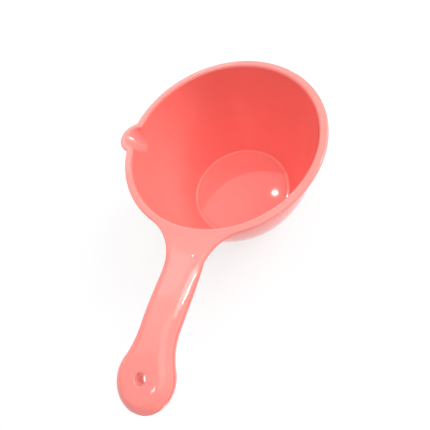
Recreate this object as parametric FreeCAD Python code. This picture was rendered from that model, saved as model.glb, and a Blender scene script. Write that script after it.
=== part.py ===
import FreeCAD, Part
import math
import os

# A round plastic water dipper: a tapered bowl with a turned-down lip, a pouring lip pressed
# into one side, and a hollow handle that rises out of the lip and ends in a round knob.
# The handle's underside is closed by a separate back cover.
# Frame: millimetres, origin at the centre of the foot, +Z up out of the mouth, +X along the
# handle, and the pouring lip towards -Y.

Vector = FreeCAD.Vector
X_AXIS = Vector(1, 0, 0)
Y_AXIS = Vector(0, 1, 0)
Z_AXIS = Vector(0, 0, 1)
ORIGIN = Vector(0, 0, 0)

# Bowl
bowl_height = 99.5
mouth_radius = 82.4
base_radius = 55.0
wall_bulge = 7.0
wall = 2.2
floor_thickness = 2.4
heel_radius = 7.0
floor_corner_radius = 3.2
pad_inset = 5.4
pad_height = 0.5
pad_edge_radius = 0.2
foot_height = 0.8
foot_inset = 8.0

# Lip round the mouth
lip_width = 6.9
lip_thickness = 1.8
lip_drop = 2.3
skirt_wall = 1.8
lip_edge_radius = 1.5
mouth_edge_radius = 2.4

# Pouring lip
spout_radius = 16.0
spout_reach = 10.6
spout_neck_radius = 4.0
spout_edge_width = 4.1
spout_wall = 2.2
spout_depth = 32.0
spout_blend_radius = 5.0
spout_level_shares = (0.0, 0.2, 0.4, 0.6, 0.8, 1.0)
spout_narrowing_share = 0.62
spout_flare = 1.2
spout_fade = 3.0

# Handle, seen from above; its places are measured outwards from the rim
grip_half_width = 14.1
grip_width_from_rim = 28.0
grip_taper_degrees = 2.2
shoulder_radius = 40.0
neck_radius = 46.0
knob_radius = 19.2
knob_from_rim = 97.5

# Handle, seen from the side
rise_inside_rim = 3.0
rise_to_from_rim = 76.0
handle_rise = 16.0
seam_rise = 8.2
seam_rise_from_rim = 9.0
seam_rise_to_from_rim = 88.0
knob_drop = 2.5
seam_drop = 1.5
pillow_width = 7.5
pillow_fall = 4.0
knob_pillow_fall = 4.6
pillow_to_from_rim = 34.0

# Hanging hole through the knob
hole_radius = 3.5
hole_wall = 1.8
hole_edge_radius = 1.0

# Pin sockets under the handle's top
socket_radius = 3.6
socket_bore_radius = 2.1
socket_from_rim = (36.0, 55.0, 74.0)
socket_bore_depth = 2.4

# Back cover
cover_step = 0.6
cover_depth = 4.4
cover_front_depth = 2.6
cover_deepens_from_rim = 4.0
cover_deepens_to_from_rim = 50.0
cover_wall = 1.8
cover_edge_radius = 2.4
cover_gap = 0.3
tongue_height = 1.4
tongue_wall = 1.2
fit_gap = 0.15
pin_height = 1.9
pin_root_radius = 3.2

# Modelling aids
overrun = 4.0
surface_reach = 46.0
surface_steps = 44
side_steps = 18
tolerance = 0.001
nearness = 0.05


# Sizes worked out from those above
rim_height = bowl_height
rim_radius = mouth_radius + lip_width
wall_top_radius = mouth_radius + wall
spout_centre = rim_radius + spout_reach - spout_radius
grip_width_at = rim_radius + grip_width_from_rim
knob_at = rim_radius + knob_from_rim
handle_end = knob_at + knob_radius
rise_from = rim_radius - rise_inside_rim
rise_to = rim_radius + rise_to_from_rim
pillow_to = rim_radius + pillow_to_from_rim
seam_from = rim_radius + seam_rise_from_rim
seam_to = rim_radius + seam_rise_to_from_rim
deepens_from = rim_radius + cover_deepens_from_rim
deepens_to = rim_radius + cover_deepens_to_from_rim
socket_places = [rim_radius + place for place in socket_from_rim]
highest = rim_height + handle_rise + overrun


def middle_of(edge):
    return edge.valueAt((edge.FirstParameter + edge.LastParameter) / 2)


def smooth_step(share):
    share = min(max(share, 0.0), 1.0)
    return share * share * (3 - 2 * share)


def along(start, end, x):
    return smooth_step((x - start) / (end - start))


# Plan outline

def blend_centre(circle_centre, circle_radius, line_point, line_direction, radius, side):
    """The centre of an arc that touches a circle from outside and lies beside a line."""
    normal = Vector(-line_direction.y, line_direction.x, 0)
    start = line_point + normal * radius
    to_start = start - circle_centre
    reach = circle_radius + radius
    b = to_start.dot(line_direction)
    c = to_start.dot(to_start) - reach * reach
    return start + line_direction * (-b + side * math.sqrt(b * b - c))


def touch(centre, other_centre, radius):
    """The point of a circle on the line towards another centre."""
    toward = other_centre - centre
    toward.normalize()
    return centre + toward * radius


def arc_edge(centre, start, end):
    """The shorter arc from start to end about a centre."""
    radius = (start - centre).Length
    middle = (start - centre) + (end - centre)
    middle.normalize()
    return Part.Arc(start, centre + middle * radius, end).toShape()


def mirrored(point):
    return Vector(point.x, -point.y, point.z)


def outline_centres():
    """Centres of the outline's arcs on the +Y side, and the grip's side line."""
    taper = math.radians(grip_taper_degrees)
    direction = Vector(math.cos(taper), -math.sin(taper), 0)
    point = Vector(grip_width_at, grip_half_width, 0)
    knob = Vector(knob_at, 0, 0)
    shoulder = blend_centre(ORIGIN, rim_radius, point, direction, shoulder_radius, 1)
    neck = blend_centre(knob, knob_radius, point, direction, neck_radius, -1)
    return knob, shoulder, neck, direction


def spout_neck_centre():
    """Centre of the small arc between the rim and the pouring lip, on its +X side."""
    a = rim_radius + spout_neck_radius
    b = spout_radius + spout_neck_radius
    y = (a * a - b * b + spout_centre * spout_centre) / (2 * spout_centre)
    return Vector(math.sqrt(a * a - y * y), -y, 0)


def plan_face(inset, height):
    """The whole outline seen from above: rim, pouring lip, shoulders, grip and knob."""
    knob, shoulder, neck, direction = outline_centres()
    inward = Vector(direction.y, -direction.x, 0)
    rim_shoulder = touch(ORIGIN, shoulder, rim_radius - inset)
    shoulder_end = shoulder + inward * (shoulder_radius + inset)
    neck_start = neck + inward * (neck_radius + inset)
    neck_end = touch(knob, neck, knob_radius - inset)
    knob_tip = knob + X_AXIS * (knob_radius - inset)
    spout = Vector(0, -spout_centre, 0)
    spout_neck = spout_neck_centre()
    rim_spout = touch(ORIGIN, spout_neck, rim_radius - inset)
    spout_start = touch(spout, spout_neck, spout_radius - inset)
    spout_tip = spout - Y_AXIS * (spout_radius - inset)
    rim_back = X_AXIS * -(rim_radius - inset)

    def across(point):
        return Vector(-point.x, point.y, point.z)

    edges = [
        arc_edge(ORIGIN, rim_shoulder, rim_back),
        arc_edge(ORIGIN, rim_back, across(rim_spout)),
        arc_edge(across(spout_neck), across(rim_spout), across(spout_start)),
        arc_edge(spout, across(spout_start), spout_tip),
        arc_edge(spout, spout_tip, spout_start),
        arc_edge(spout_neck, spout_start, rim_spout),
        arc_edge(ORIGIN, rim_spout, mirrored(rim_shoulder)),
        arc_edge(mirrored(shoulder), mirrored(rim_shoulder), mirrored(shoulder_end)),
        Part.LineSegment(mirrored(shoulder_end), mirrored(neck_start)).toShape(),
        arc_edge(mirrored(neck), mirrored(neck_start), mirrored(neck_end)),
        arc_edge(knob, mirrored(neck_end), knob_tip),
        arc_edge(knob, knob_tip, neck_end),
        arc_edge(neck, neck_end, neck_start),
        Part.LineSegment(neck_start, shoulder_end).toShape(),
        arc_edge(shoulder, shoulder_end, rim_shoulder),
    ]
    face = Part.Face(Part.Wire(edges))
    face.translate(Z_AXIS * height)
    return face


def handle_face(inset, height):
    """The grip and knob alone, their sides carried on straight to under the bowl."""
    knob, shoulder, neck, direction = outline_centres()
    inward = Vector(direction.y, -direction.x, 0)
    neck_start = neck + inward * (neck_radius + inset)
    neck_end = touch(knob, neck, knob_radius - inset)
    knob_tip = knob + X_AXIS * (knob_radius - inset)
    root = neck_start - direction * knob_at
    edges = [
        Part.LineSegment(mirrored(root), mirrored(neck_start)).toShape(),
        arc_edge(mirrored(neck), mirrored(neck_start), mirrored(neck_end)),
        arc_edge(knob, mirrored(neck_end), knob_tip),
        arc_edge(knob, knob_tip, neck_end),
        arc_edge(neck, neck_end, neck_start),
        Part.LineSegment(neck_start, root).toShape(),
        Part.LineSegment(root, mirrored(root)).toShape(),
    ]
    face = Part.Face(Part.Wire(edges))
    face.translate(Z_AXIS * height)
    return face


# Height surfaces

def edge_distance(x, y):
    """How far a point of the handle lies inside its side edge, seen from above."""
    knob, shoulder, neck, direction = outline_centres()
    inward = Vector(direction.y, -direction.x, 0)
    shoulder_end = shoulder + inward * shoulder_radius
    neck_start = neck + inward * neck_radius
    point = Vector(x, abs(y), 0)
    if (point - shoulder_end).dot(direction) < 0:
        return (point - shoulder).Length - shoulder_radius
    if (point - neck_start).dot(direction) < 0:
        return (point - shoulder_end).dot(inward)
    if (knob - neck).cross(point - neck).z < 0:
        return (point - neck).Length - neck_radius
    return knob_radius - (point - knob).Length


def past_rise(x):
    """The share of the way from the top of the rise to the handle's end."""
    return max(x - rise_to, 0.0) / (handle_end - rise_to)


def top_height(x, y):
    """The handle's top: level with the lip, rising to the grip, soft-edged, domed at the knob."""
    height = rim_height + handle_rise * along(rise_from, rise_to, x)
    height -= knob_drop * past_rise(x) ** 2
    fall = pillow_fall + (knob_pillow_fall - pillow_fall) * along(rise_to, knob_at, x)
    share = max(1 - edge_distance(x, y) / pillow_width, 0.0)
    return height - fall * along(rim_radius, pillow_to, x) * share * share


def seam_height(x, y):
    """The seam between the handle's top shell and its back cover."""
    rise = (lip_drop + seam_rise) * along(seam_from, seam_to, x)
    return rim_height - lip_drop + rise - seam_drop * past_rise(x) ** 2


def cover_height(x, y):
    """The underside of the back cover, thin at the bowl and deeper under the grip."""
    deepening = (cover_depth - cover_front_depth) * along(deepens_from, deepens_to, x)
    return seam_height(x, y) - cover_front_depth - deepening


def space_below(height, lowered, depth):
    """The space below a height surface: level over the bowl, and shaped over the handle."""
    rows = []
    for i in range(surface_steps + 1):
        x = rise_from + (handle_end + overrun - rise_from) * i / surface_steps
        row = []
        for j in range(-side_steps, side_steps + 1):
            y = surface_reach * j / side_steps
            row.append(Vector(x, y, height(x, y) - lowered))
        rows.append(row)
    surface = Part.BSplineSurface()
    surface.interpolate(rows)
    handle_side = surface.toShape().extrude(Z_AXIS * -depth)
    level = height(rise_from, 0) - lowered
    reach = rim_radius + spout_reach + overrun
    corner = Vector(-reach, -reach, level - depth)
    bowl_side = Part.makeBox(reach + rise_from, 2 * reach, depth, corner)
    return bowl_side.fuse(handle_side)


def plan_prism(inset, z_from, z_to):
    return plan_face(inset, z_from).extrude(Z_AXIS * (z_to - z_from))


# Bowl

def revolved(profile):
    face = Part.Face(Part.Wire(profile))
    return face.revolve(ORIGIN, Z_AXIS, 360)


def wall_circle():
    """Centre and radius of the bowl's outer wall, seen in section."""
    foot = Vector(base_radius, 0, 0)
    top = Vector(wall_top_radius, 0, rim_height)
    chord = top - foot
    outward = Vector(chord.z, 0, -chord.x)
    outward.normalize()
    radius = chord.Length ** 2 / (8 * wall_bulge) + wall_bulge / 2
    centre = (foot + top) * 0.5 + outward * (wall_bulge - radius)
    return centre, radius


def wall_radius(z, inset):
    """The bowl's radius at a height, on its outer wall or further in."""
    centre, radius = wall_circle()
    return centre.x + math.sqrt((radius - inset) ** 2 - (z - centre.z) ** 2)


def wall_solid(inset, z_from, z_to):
    """Everything inside the bowl's wall, or inside a wall set further in."""
    low = Vector(wall_radius(z_from, inset), 0, z_from)
    middle_height = (z_from + z_to) / 2
    middle = Vector(wall_radius(middle_height, inset), 0, middle_height)
    high = Vector(wall_radius(z_to, inset), 0, z_to)
    low_axis = Z_AXIS * z_from
    high_axis = Z_AXIS * z_to
    profile = [
        Part.LineSegment(low_axis, low).toShape(),
        Part.Arc(low, middle, high).toShape(),
        Part.LineSegment(high, high_axis).toShape(),
        Part.LineSegment(high_axis, low_axis).toShape(),
    ]
    return revolved(profile)


def circle_edges(shape, radius, height):
    """A shape's round edges of one radius about the bowl's axis, at one height."""
    found = []
    for edge in shape.Edges:
        if type(edge.Curve).__name__ != "Circle":
            continue
        centre = edge.Curve.Center
        on_axis = math.hypot(centre.x, centre.y) < tolerance
        if on_axis and abs(edge.Curve.Radius - radius) < tolerance and abs(centre.z - height) < tolerance:
            found.append(edge)
    return found


def bowl_outside():
    """The bowl's outer form, with a rounded heel and a hollowed foot."""
    solid = wall_solid(0, 0, rim_height)
    solid = solid.makeFillet(heel_radius, circle_edges(solid, base_radius, 0))
    return solid.cut(Part.makeCylinder(base_radius - foot_inset, foot_height))


def bowl_inside():
    """The space in the bowl: round-cornered, over a floor with a low round pad."""
    solid = wall_solid(wall, floor_thickness, rim_height + mouth_edge_radius)
    corner = circle_edges(solid, wall_radius(floor_thickness, wall), floor_thickness)
    solid = solid.makeFillet(floor_corner_radius, corner)
    pad_radius = base_radius - pad_inset
    pad = Part.makeCylinder(pad_radius, pad_height, Z_AXIS * floor_thickness)
    solid = solid.cut(pad)
    edges = circle_edges(solid, pad_radius, floor_thickness)
    edges += circle_edges(solid, pad_radius, floor_thickness + pad_height)
    return solid.makeFillet(pad_edge_radius, edges)


# Pouring lip

def spout_loft(growth, top):
    """A scoop that leans out of the bowl's wall towards the pouring lip's tip."""
    top_radius = spout_radius - spout_edge_width
    tip_top = spout_centre + top_radius
    tip_low = wall_radius(rim_height - spout_depth, wall) - spout_fade
    rings = []
    for share in spout_level_shares:
        radius = top_radius * (1 - spout_narrowing_share * share)
        tip = tip_low + (tip_top - tip_low) * (1 - share) ** spout_flare
        ring = Part.Wire(Part.makeCircle(radius + growth))
        ring.rotate(ORIGIN, Z_AXIS, 90)
        ring.translate(Vector(0, radius - tip, top - spout_depth * share))
        rings.append(ring)
    return Part.makeLoft(rings, True)


def inner_space():
    """The bowl's inside together with the pouring lip's channel, blended into one."""
    joined = bowl_inside().fuse(spout_loft(0, rim_height + mouth_edge_radius))
    creases = []
    for edge in joined.Edges:
        middle = middle_of(edge)
        level = edge.BoundBox.ZLength < tolerance
        on_wall = abs(math.hypot(middle.x, middle.y) - wall_radius(middle.z, wall)) < nearness
        if middle.y < -spout_centre / 2 and on_wall and not level:
            creases.append(edge)
    return joined.makeFillet(spout_blend_radius, creases)


# Lip and handle

def lip_block():
    """The turned-down lip and the handle's top, solid, with rounded outer edges."""
    block = plan_prism(0, rim_height - lip_drop - overrun, highest)
    block = block.common(space_below(top_height, 0, rim_height))
    block = block.cut(space_below(seam_height, 0, rim_height))
    edges = []
    for edge in block.Edges:
        middle = middle_of(edge)
        on_top = abs(middle.z - top_height(middle.x, middle.y)) < nearness
        across = abs(middle.x - rise_from) < nearness and abs(middle.y) < nearness
        if on_top and not across:
            edges.append(edge)
    return block.makeFillet(lip_edge_radius, edges)


def lip_hollow():
    """The space under the lip and inside the handle's top shell."""
    prism = plan_prism(skirt_wall, rim_height - lip_drop - overrun, highest)
    return prism.common(space_below(top_height, lip_thickness, rim_height))


def post(radius, x, low, high):
    """An upright round post on the handle's middle line."""
    return Part.makeCylinder(radius, high - low, Vector(x, 0, low))


def body_posts():
    """Sockets for the cover's pins, and the sleeve round the hanging hole."""
    posts = [post(hole_radius + hole_wall, knob_at, seam_height(knob_at, 0), highest)]
    for x in socket_places:
        posts.append(post(socket_radius, x, seam_height(x, 0), highest))
    joined = posts[0].fuse(posts[1:])
    return joined.common(space_below(top_height, lip_thickness / 2, rim_height))


def hanging_hole():
    return post(hole_radius, knob_at, rim_height - lip_drop - cover_depth - overrun, highest)


def hole_edges(shape, height):
    """The edges where the hanging hole meets a height surface."""
    found = []
    for edge in shape.Edges:
        middle = middle_of(edge)
        on_hole = abs(math.hypot(middle.x - knob_at, middle.y) - hole_radius) < nearness
        if on_hole and abs(middle.z - height(middle.x, middle.y)) < nearness:
            found.append(edge)
    return found


def dipper_body():
    """Bowl, lip, pouring lip and the handle's top shell, in one moulding."""
    space = inner_space()
    body = lip_block().cut(lip_hollow())
    beak = spout_loft(spout_wall, rim_height - lip_thickness / 2)
    body = body.fuse([bowl_outside(), beak, body_posts()])
    body = body.cut(space)
    edges = []
    for edge in body.Edges:
        middle = middle_of(edge)
        at_rim = abs(middle.z - rim_height) < tolerance and edge.BoundBox.ZLength < tolerance
        if at_rim and space.distToShape(Part.Vertex(middle))[0] < nearness:
            edges.append(edge)
    body = body.makeFillet(mouth_edge_radius, edges)
    for x in socket_places:
        low = seam_height(x, 0)
        body = body.cut(post(socket_bore_radius, x, low, low + socket_bore_depth))
    body = body.cut(hanging_hole())
    return body.makeFillet(hole_edge_radius, hole_edges(body, top_height))


# Back cover

def handle_prism(inset):
    """The upright space over the grip's and knob's outline."""
    low = rim_height - lip_drop - cover_depth - overrun
    return handle_face(inset, low).extrude(Z_AXIS * (highest - low))


def cover_block():
    """The cover's outer form, proud of the handle and rounded along its underside."""
    block = handle_prism(-cover_step).common(space_below(seam_height, 0, rim_height))
    block = block.cut(space_below(cover_height, 0, rim_height))
    edges = []
    for edge in block.Edges:
        middle = middle_of(edge)
        on_underside = abs(middle.z - cover_height(middle.x, middle.y)) < nearness
        if on_underside and abs(middle.y) > nearness:
            edges.append(edge)
    return block.makeFillet(cover_edge_radius, edges)


def handle_back_cover():
    """The shell that closes the handle's underside, with a tongue and three pins."""
    tongue_inset = skirt_wall + fit_gap
    tongue = handle_prism(tongue_inset)
    tongue = tongue.common(space_below(seam_height, -tongue_height, rim_height))
    tongue = tongue.cut(space_below(seam_height, tongue_height, rim_height))
    tongue = tongue.common(space_below(top_height, lip_thickness + fit_gap, rim_height))
    cover = cover_block().fuse(tongue).cut(wall_solid(-cover_gap, 0, rim_height))
    hollow = handle_prism(tongue_inset + tongue_wall)
    hollow = hollow.cut(space_below(cover_height, -cover_wall, rim_height))
    hollow = hollow.cut(wall_solid(-cover_gap - cover_wall, 0, rim_height))
    cover = cover.cut(hollow)
    posts = []
    for x in [knob_at] + socket_places:
        low = cover_height(x, 0) + cover_wall / 2
        seam = seam_height(x, 0) - fit_gap
        if x == knob_at:
            posts.append(post(hole_radius + hole_wall, x, low, seam))
        else:
            posts.append(post(pin_root_radius, x, low, seam))
            posts.append(post(socket_bore_radius - fit_gap, x, low, seam + pin_height))
    cover = cover.fuse(posts).cut(hanging_hole())
    return cover.makeFillet(hole_edge_radius, hole_edges(cover, cover_height))


os.makedirs("parts", exist_ok=True)
dipper_body().exportStep("parts/dipper_body.step")
handle_back_cover().exportStep("parts/handle_back_cover.step")
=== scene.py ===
import math

import bmesh
import bpy
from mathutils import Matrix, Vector


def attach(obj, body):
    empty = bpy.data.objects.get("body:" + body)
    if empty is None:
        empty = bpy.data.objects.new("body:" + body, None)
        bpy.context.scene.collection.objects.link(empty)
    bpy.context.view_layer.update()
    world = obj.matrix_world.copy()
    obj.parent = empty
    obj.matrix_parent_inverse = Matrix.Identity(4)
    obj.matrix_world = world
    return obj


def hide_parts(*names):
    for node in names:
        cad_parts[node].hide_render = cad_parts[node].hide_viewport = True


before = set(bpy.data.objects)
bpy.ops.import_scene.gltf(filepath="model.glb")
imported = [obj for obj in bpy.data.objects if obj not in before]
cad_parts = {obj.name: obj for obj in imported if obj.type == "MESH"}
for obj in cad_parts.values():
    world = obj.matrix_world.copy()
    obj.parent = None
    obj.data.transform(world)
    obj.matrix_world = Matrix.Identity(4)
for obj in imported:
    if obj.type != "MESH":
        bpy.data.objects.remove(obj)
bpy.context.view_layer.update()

bl_info = {
    "name": "Water Dipper",
    "version": (1, 0, 0),
    "blender": (4, 5, 0),
    "location": "3D View > Sidebar > Dipper",
    "description": "Glossy moulded water dipper on a pale studio floor",
    "category": "Object",
}

BODY = "root"

# A CAD node's loose triangles are merged within this distance, in metres,
# and edges sharper than this angle stay sharp.
MERGE_DISTANCE = 1e-6
SHARP_ANGLE = math.radians(35)

# Patterns in the plastic: noise features per metre, octaves of detail and the
# levels between which the noise fades in. Two run along a direction instead,
# on a place that is turned and scaled first.
CLOUD = {"scale": 22, "detail": 3, "levels": (0.35, 0.75)}
RUBBING = {"scale": 260, "detail": 4, "levels": (0.3, 0.7)}
FLOW_PLACE = {"Scale": (9, 9, 70)}
FLOW = {"scale": 1, "detail": 4, "levels": (0.45, 0.8)}
HAIRLINE_PLACE = {"Rotation": (0.4, 0.2, 0.7), "Scale": (40, 900, 900)}
HAIRLINE = {"scale": 1, "detail": 2, "levels": (0.66, 0.8)}
WAVE = {"scale": 42, "detail": 1}
GRAIN = {"scale": 900, "detail": 2}

# How strongly the patterns count in the colour, the roughness and the bump,
# and the heights between which the foot's rubbing fades out.
CLOUD_COLOUR = 0.22
FLOW_COLOUR = 0.12
CLOUD_ROUGHNESS = 0.02
HAIRLINE_ROUGHNESS = 0.07
GRAIN_BUMP = 0.03
RUBBING_BUMP = 0.2
FOOT_HEIGHTS = (0.0004, 0.0016)
PLASTIC_IOR = 1.46

# Lamps: name, place, the point it is turned towards, width and depth in
# metres, and the setting that holds its power.
MIDDLE = (0.0, 0.0, 0.05)
LAMPS = (
    ("softbox", (-0.38, -0.50, 1.10), MIDDLE, (1.8, 1.3), "softbox_power"),
    ("overhead lamp", (0.15, 0.35, 1.30), MIDDLE, (1.2, 1.2), "overhead_power"),
    ("handle lamp", (-0.806, -0.754, 0.739), MIDDLE, (0.9, 0.9), "handle_power"),
    ("wall lamp", (-0.61, 0.82, 0.86), MIDDLE, (0.9, 0.9), "wall_power"),
    ("ridge lamp", (-0.49, 0.82, 0.91), MIDDLE, (0.1, 0.1), "ridge_power"),
    ("spout lamp", (-0.40, 1.03, 0.65), MIDDLE, (0.16, 0.16), "spout_power"),
    ("knob lamp", (0.56, -0.39, 1.07), MIDDLE, (0.05, 0.05), "knob_power"),
    ("main lamp", (-0.53, -0.165, 1.06), (0.0, 0.04, 0.0), (0.016, 0.016), "main_power"),
    ("side lamp", (-0.54, -0.45, 1.00), (0.0, -0.03, 0.0), (0.016, 0.016), "side_power"),
)
FLOOR_REACH = 3

# The camera's place, its turn in degrees and its focal length in the photo's
# pixels, fitted together to the outlines in the photo.
CAMERA_PLACE = (0.14715, 0.09523, 0.29772)
CAMERA_TURN = (24.313, 16.679, 103.783)
FOCAL_PIXELS = 300
PHOTO_PIXELS = 430
SENSOR_WIDTH = 36
NEAREST_SEEN = 0.01

WHITE = (1.0, 1.0, 1.0, 1.0)


# Settings

class DipperPlastic(bpy.types.PropertyGroup):
    colour: bpy.props.FloatVectorProperty(
        name="Colour", description="Colour of the moulded plastic",
        subtype="COLOR", size=3, min=0, max=1, default=(0.93, 0.235, 0.205))
    deep_colour: bpy.props.FloatVectorProperty(
        name="Deep colour", description="Colour where the pigment has flowed together",
        subtype="COLOR", size=3, min=0, max=1, default=(0.86, 0.185, 0.16))
    roughness: bpy.props.FloatProperty(
        name="Roughness", description="Roughness of the polished mould's surface",
        subtype="FACTOR", min=0, max=1, default=0.055)
    scuffing: bpy.props.FloatProperty(
        name="Scuffing", description="Roughness added where the foot rubs on shelves",
        subtype="FACTOR", min=0, max=1, default=0.35)
    waviness: bpy.props.FloatProperty(
        name="Waviness", description="Height of the slow waves left by uneven cooling",
        unit="LENGTH", min=0, default=0.000048)


class DipperStage(bpy.types.PropertyGroup):
    floor: bpy.props.FloatVectorProperty(
        name="Floor", description="Colour of the floor and backdrop",
        subtype="COLOR", size=3, min=0, max=1, default=(0.92, 0.92, 0.92))
    floor_glow: bpy.props.FloatProperty(
        name="Floor glow", description="Share of plain white in the floor as the camera sees it",
        subtype="FACTOR", min=0, max=1, default=0.75)
    sky: bpy.props.FloatProperty(
        name="Sky", description="Level of the even light from all round",
        min=0, default=0.46)
    softbox_power: bpy.props.FloatProperty(
        name="Softbox", description="Power of the large softbox on the bowl's side",
        unit="POWER", min=0, default=4.6)
    overhead_power: bpy.props.FloatProperty(
        name="Overhead lamp", description="Power of the soft lamp above the handle",
        unit="POWER", min=0, default=5.4)
    handle_power: bpy.props.FloatProperty(
        name="Handle lamp", description="Power of the soft lamp mirrored in the handle",
        unit="POWER", min=0, default=2.6)
    wall_power: bpy.props.FloatProperty(
        name="Wall lamp", description="Power of the soft lamp on the wall beside the pouring lip",
        unit="POWER", min=0, default=10.5)
    ridge_power: bpy.props.FloatProperty(
        name="Ridge lamp", description="Power of the small lamp mirrored along the handle's edge",
        unit="POWER", min=0, default=0.3)
    spout_power: bpy.props.FloatProperty(
        name="Spout lamp", description="Power of the small lamp mirrored in the pouring lip",
        unit="POWER", min=0, default=2.0)
    knob_power: bpy.props.FloatProperty(
        name="Knob lamp", description="Power of the small lamp mirrored in the knob",
        unit="POWER", min=0, default=0.12)
    main_power: bpy.props.FloatProperty(
        name="Main lamp", description="Power of the small lamp mirrored in the bowl's floor",
        unit="POWER", min=0, default=0.1)
    side_power: bpy.props.FloatProperty(
        name="Side lamp", description="Power of the second lamp mirrored in the bowl's floor",
        unit="POWER", min=0, default=0.04)
    lens: bpy.props.FloatProperty(
        name="Lens", description="The camera's focal length on a 36 mm sensor",
        unit="CAMERA", min=1, default=SENSOR_WIDTH * FOCAL_PIXELS / PHOTO_PIXELS)


# Shader maths

class Value:
    """A shader socket that can be used in sums and products."""

    def __init__(self, nodes, socket):
        self.nodes = nodes
        self.socket = socket

    def maths(self, operation, other):
        return self.nodes.add("ShaderNodeMath", {"operation": operation}, {0: self, 1: other})

    def swapped(self, operation, other):
        return self.nodes.add("ShaderNodeMath", {"operation": operation}, {0: other, 1: self})

    def __add__(self, other):
        return self.maths("ADD", other)

    def __radd__(self, other):
        return self.swapped("ADD", other)

    def __sub__(self, other):
        return self.maths("SUBTRACT", other)

    def __rsub__(self, other):
        return self.swapped("SUBTRACT", other)

    def __mul__(self, other):
        return self.maths("MULTIPLY", other)

    def __rmul__(self, other):
        return self.swapped("MULTIPLY", other)


class Nodes:
    """The node tree of a material or the world, filled one node at a time."""

    def __init__(self, owner):
        owner.use_nodes = True
        self.tree = owner.node_tree
        self.tree.nodes.clear()

    def add(self, kind, settings=None, inputs=None, output=0):
        """One node, with its settings made first and then its sockets set or linked."""
        node = self.tree.nodes.new(kind)
        for key, value in (settings or {}).items():
            setattr(node, key, value)
        for key, value in (inputs or {}).items():
            if isinstance(value, Value):
                self.tree.links.new(value.socket, node.inputs[key])
            else:
                node.inputs[key].default_value = value
        return Value(self, node.outputs[output]) if len(node.outputs) else None


def mixed(nodes, factor, first, second):
    """One colour fading into another. The Mix node's colours are its sockets 6 and 7."""
    inputs = {0: factor, 6: (*first, 1.0), 7: (*second, 1.0)}
    return nodes.add("ShaderNodeMix", {"data_type": "RGBA"}, inputs, 2)


def noise(nodes, place, scale, detail):
    """Noise between 0 and 1."""
    inputs = {"Vector": place, "Scale": scale, "Detail": detail}
    return nodes.add("ShaderNodeTexNoise", None, inputs)


def faded(nodes, value, levels):
    """How far a value has gone from the low to the high level, between 0 and 1."""
    inputs = {"Value": value, "From Min": levels[0], "From Max": levels[1]}
    return nodes.add("ShaderNodeMapRange", None, inputs)


def patches(nodes, place, scale, detail, levels):
    """Noise in patches, 0 between them and 1 inside."""
    return faded(nodes, noise(nodes, place, scale, detail), levels)


def plastic(name, settings):
    """Glossy moulded plastic: cloudy pigment, slow waves, hairlines and a scuffed foot."""
    material = bpy.data.materials.new(name)
    nodes = Nodes(material)
    place = nodes.add("ShaderNodeTexCoord", None, None, "Object")
    height = nodes.add("ShaderNodeSeparateXYZ", None, {"Vector": place}, "Z")
    flow_place = nodes.add("ShaderNodeMapping", None, {"Vector": place, **FLOW_PLACE})
    hair_place = nodes.add("ShaderNodeMapping", None, {"Vector": place, **HAIRLINE_PLACE})
    cloud = patches(nodes, place, **CLOUD)
    flow = patches(nodes, flow_place, **FLOW)
    hairlines = patches(nodes, hair_place, **HAIRLINE)
    foot = 1 - faded(nodes, height, FOOT_HEIGHTS)
    rubbing = foot * patches(nodes, place, **RUBBING)
    colour = mixed(nodes, cloud * CLOUD_COLOUR + flow * FLOW_COLOUR,
                   settings.colour, settings.deep_colour)
    roughness = (settings.roughness + cloud * CLOUD_ROUGHNESS
                 + hairlines * HAIRLINE_ROUGHNESS + rubbing * settings.scuffing)
    waves = (noise(nodes, place, **WAVE) + noise(nodes, place, **GRAIN) * GRAIN_BUMP
             + rubbing * RUBBING_BUMP)
    bump = nodes.add("ShaderNodeBump", None, {
        "Strength": 1.0, "Distance": settings.waviness, "Height": waves})
    shader = nodes.add("ShaderNodeBsdfPrincipled", None, {
        "Base Color": colour, "Roughness": roughness, "IOR": PLASTIC_IOR, "Normal": bump})
    nodes.add("ShaderNodeOutputMaterial", None, {"Surface": shader})
    return material


# Pieces

def skin_of(node, name, material):
    """A merged, smooth copy of a CAD node that stands for it."""
    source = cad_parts[node]
    mesh = bpy.data.meshes.new(name)
    work = bmesh.new()
    work.from_mesh(source.data)
    bmesh.ops.remove_doubles(work, verts=work.verts, dist=MERGE_DISTANCE)
    for edge in work.edges:
        edge.smooth = len(edge.link_faces) == 2 and edge.calc_face_angle(0) < SHARP_ANGLE
    for face in work.faces:
        face.smooth = True
    work.to_mesh(mesh)
    work.free()
    piece = bpy.data.objects.new(name, mesh)
    bpy.context.collection.objects.link(piece)
    piece.data.materials.append(material)
    weighted = piece.modifiers.new("even shading", "WEIGHTED_NORMAL")
    weighted.keep_sharp = True
    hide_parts(node)
    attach(piece, BODY)
    return piece


class DIPPER_OT_body(bpy.types.Operator):
    """Bowl, lip, pouring lip and handle top in glossy plastic"""
    bl_idname = "dipper.body"
    bl_label = "Dipper body"

    def execute(self, context):
        material = plastic("coral plastic", context.scene.dipper_plastic)
        skin_of("dipper_body", "moulded_body", material)
        return {"FINISHED"}


class DIPPER_OT_back_cover(bpy.types.Operator):
    """The shell under the handle"""
    bl_idname = "dipper.back_cover"
    bl_label = "Handle back cover"

    def execute(self, context):
        material = plastic("coral back plastic", context.scene.dipper_plastic)
        skin_of("handle_back_cover", "back_cover", material)
        return {"FINISHED"}


def seen_rays(nodes):
    """1 for rays from the camera and in mirror images, and 0 for the light on the object."""
    seen = nodes.add("ShaderNodeLightPath", None, None, "Is Camera Ray")
    for kind in ("Is Glossy Ray", "Is Transmission Ray"):
        seen = seen.maths("MAXIMUM", nodes.add("ShaderNodeLightPath", None, None, kind))
    return seen


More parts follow.
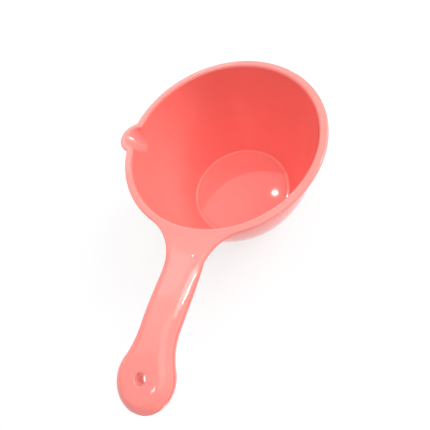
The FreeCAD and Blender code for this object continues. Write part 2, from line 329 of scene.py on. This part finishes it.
def studio_lamp(name, place, aim, size, power):
    """An oval lamp at a place, turned towards a point and hidden from the camera."""
    lamp_data = bpy.data.lights.new(name, "AREA")
    lamp_data.shape = "ELLIPSE"
    lamp_data.size, lamp_data.size_y = size
    lamp_data.energy = power
    lamp = bpy.data.objects.new(name, lamp_data)
    bpy.context.collection.objects.link(lamp)
    lamp.location = place
    lamp.rotation_euler = (Vector(aim) - Vector(place)).to_track_quat("-Z", "Y").to_euler()
    lamp.visible_camera = False


class DIPPER_OT_stage(bpy.types.Operator):
    """Floor, lamps and camera"""
    bl_idname = "dipper.stage"
    bl_label = "Studio stage"

    def execute(self, context):
        settings = context.scene.dipper_stage
        self.lay_floor(context, settings)
        self.light(context, settings)
        self.place_camera(context, settings)
        context.scene.view_settings.view_transform = "Standard"
        return {"FINISHED"}

    def lay_floor(self, context, settings):
        mesh = bpy.data.meshes.new("studio_floor")
        work = bmesh.new()
        bmesh.ops.create_grid(work, x_segments=1, y_segments=1, size=FLOOR_REACH)
        work.to_mesh(mesh)
        work.free()
        floor = bpy.data.objects.new("studio_floor", mesh)
        context.collection.objects.link(floor)
        material = bpy.data.materials.new("studio floor")
        nodes = Nodes(material)
        cloth = nodes.add("ShaderNodeBsdfDiffuse", None, {"Color": (*settings.floor, 1.0)})
        glow = nodes.add("ShaderNodeEmission", None, {"Color": WHITE, "Strength": 1.0})
        factor = seen_rays(nodes) * settings.floor_glow
        shader = nodes.add("ShaderNodeMixShader", None, {0: factor, 1: cloth, 2: glow})
        nodes.add("ShaderNodeOutputMaterial", None, {"Surface": shader})
        floor.data.materials.append(material)

    def light(self, context, settings):
        world = bpy.data.worlds.new("studio")
        context.scene.world = world
        nodes = Nodes(world)
        level = settings.sky + seen_rays(nodes) * (1 - settings.sky)
        sky = nodes.add("ShaderNodeBackground", None, {"Color": WHITE, "Strength": level})
        nodes.add("ShaderNodeOutputWorld", None, {"Surface": sky})
        for name, place, aim, size, power in LAMPS:
            studio_lamp(name, place, aim, size, getattr(settings, power))

    def place_camera(self, context, settings):
        camera_data = bpy.data.cameras.new("camera")
        camera_data.sensor_width = SENSOR_WIDTH
        camera_data.lens = settings.lens
        camera_data.clip_start = NEAREST_SEEN
        camera = bpy.data.objects.new("camera", camera_data)
        context.collection.objects.link(camera)
        camera.location = CAMERA_PLACE
        camera.rotation_euler = [math.radians(angle) for angle in CAMERA_TURN]
        context.scene.camera = camera


class DIPPER_PT_panel(bpy.types.Panel):
    """Lists the dipper's operators"""
    bl_idname = "DIPPER_PT_panel"
    bl_label = "Water dipper"
    bl_space_type = "VIEW_3D"
    bl_region_type = "UI"
    bl_category = "Dipper"

    def draw(self, context):
        for operator in OPERATORS:
            self.layout.operator(operator.bl_idname)


OPERATORS = (DIPPER_OT_body, DIPPER_OT_back_cover, DIPPER_OT_stage)
CLASSES = (DipperPlastic, DipperStage) + OPERATORS + (DIPPER_PT_panel,)


def register():
    for item in CLASSES:
        bpy.utils.register_class(item)
    bpy.types.Scene.dipper_plastic = bpy.props.PointerProperty(type=DipperPlastic)
    bpy.types.Scene.dipper_stage = bpy.props.PointerProperty(type=DipperStage)


def unregister():
    del bpy.types.Scene.dipper_stage
    del bpy.types.Scene.dipper_plastic
    for item in reversed(CLASSES):
        bpy.utils.unregister_class(item)


def main():
    register()
    bpy.ops.dipper.body()
    bpy.ops.dipper.back_cover()
    bpy.ops.dipper.stage()


if __name__ == "__main__":
    main()
